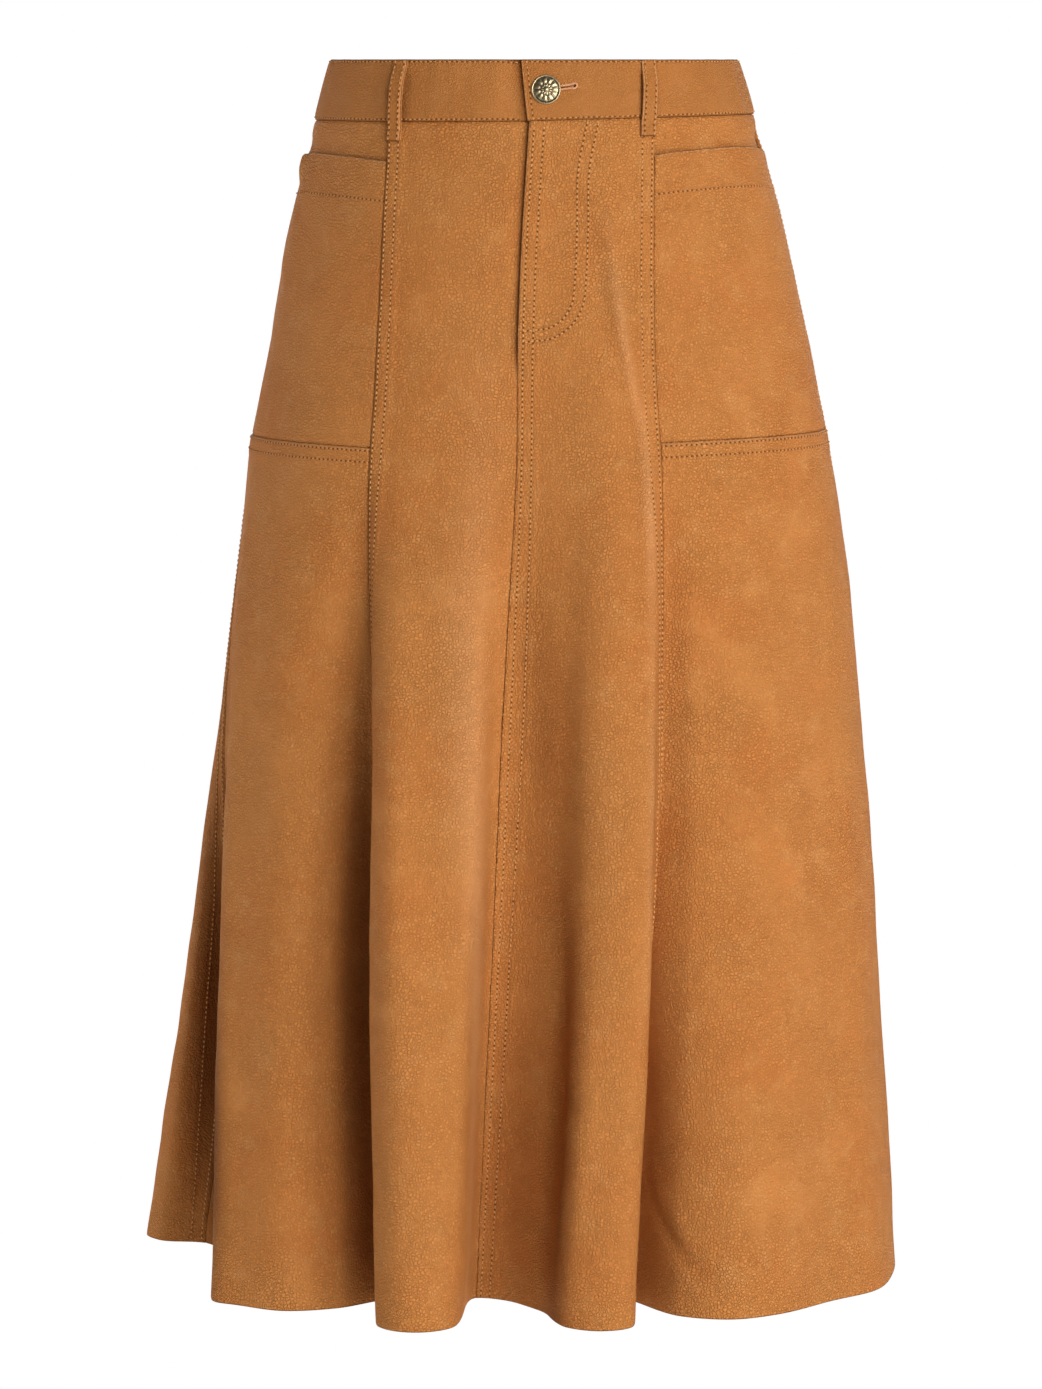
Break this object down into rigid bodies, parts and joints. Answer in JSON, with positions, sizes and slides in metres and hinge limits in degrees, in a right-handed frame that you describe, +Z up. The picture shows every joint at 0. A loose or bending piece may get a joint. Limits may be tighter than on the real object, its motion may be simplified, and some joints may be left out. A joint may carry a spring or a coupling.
{
  "type": "a-line skirt",
  "caption": "Flared leather midi skirt, held open as worn, with a fly front, waistband with belt loops and a button, patch pockets and deep soft folds at the hem.",
  "frame": {"origin": "middle of the waist opening, half way up the waistband, where the wearer's waist holds the skirt", "axes": "+Z up out of the waist opening, -Y the front of the skirt, +X the side on the right when seen from the front"},
  "size_m": [0.4964, 0.421, 0.7738],
  "materials": {
    "leather": "matte pebble-grained tan leather",
    "antique_brass": "antique brass, dark in its recesses",
    "thread": "tan topstitching thread"
  },
  "bodies": {
    "root": {"waistband": "leather", "front_centre_left": "leather", "front_centre_right": "leather", "pocket_backing_left": "leather", "pocket_backing_right": "leather", "pocket_front_left": "leather", "pocket_front_right": "leather", "side_gore_left": "leather", "side_gore_right": "leather", "back_left": "leather", "back_right": "leather", "belt_loop_front_left": "leather", "belt_loop_front_right": "leather", "belt_loop_back_left": "leather", "belt_loop_centre_back": "leather", "belt_loop_back_right": "leather", "button": "antique_brass"}
  },
  "joints": []
}
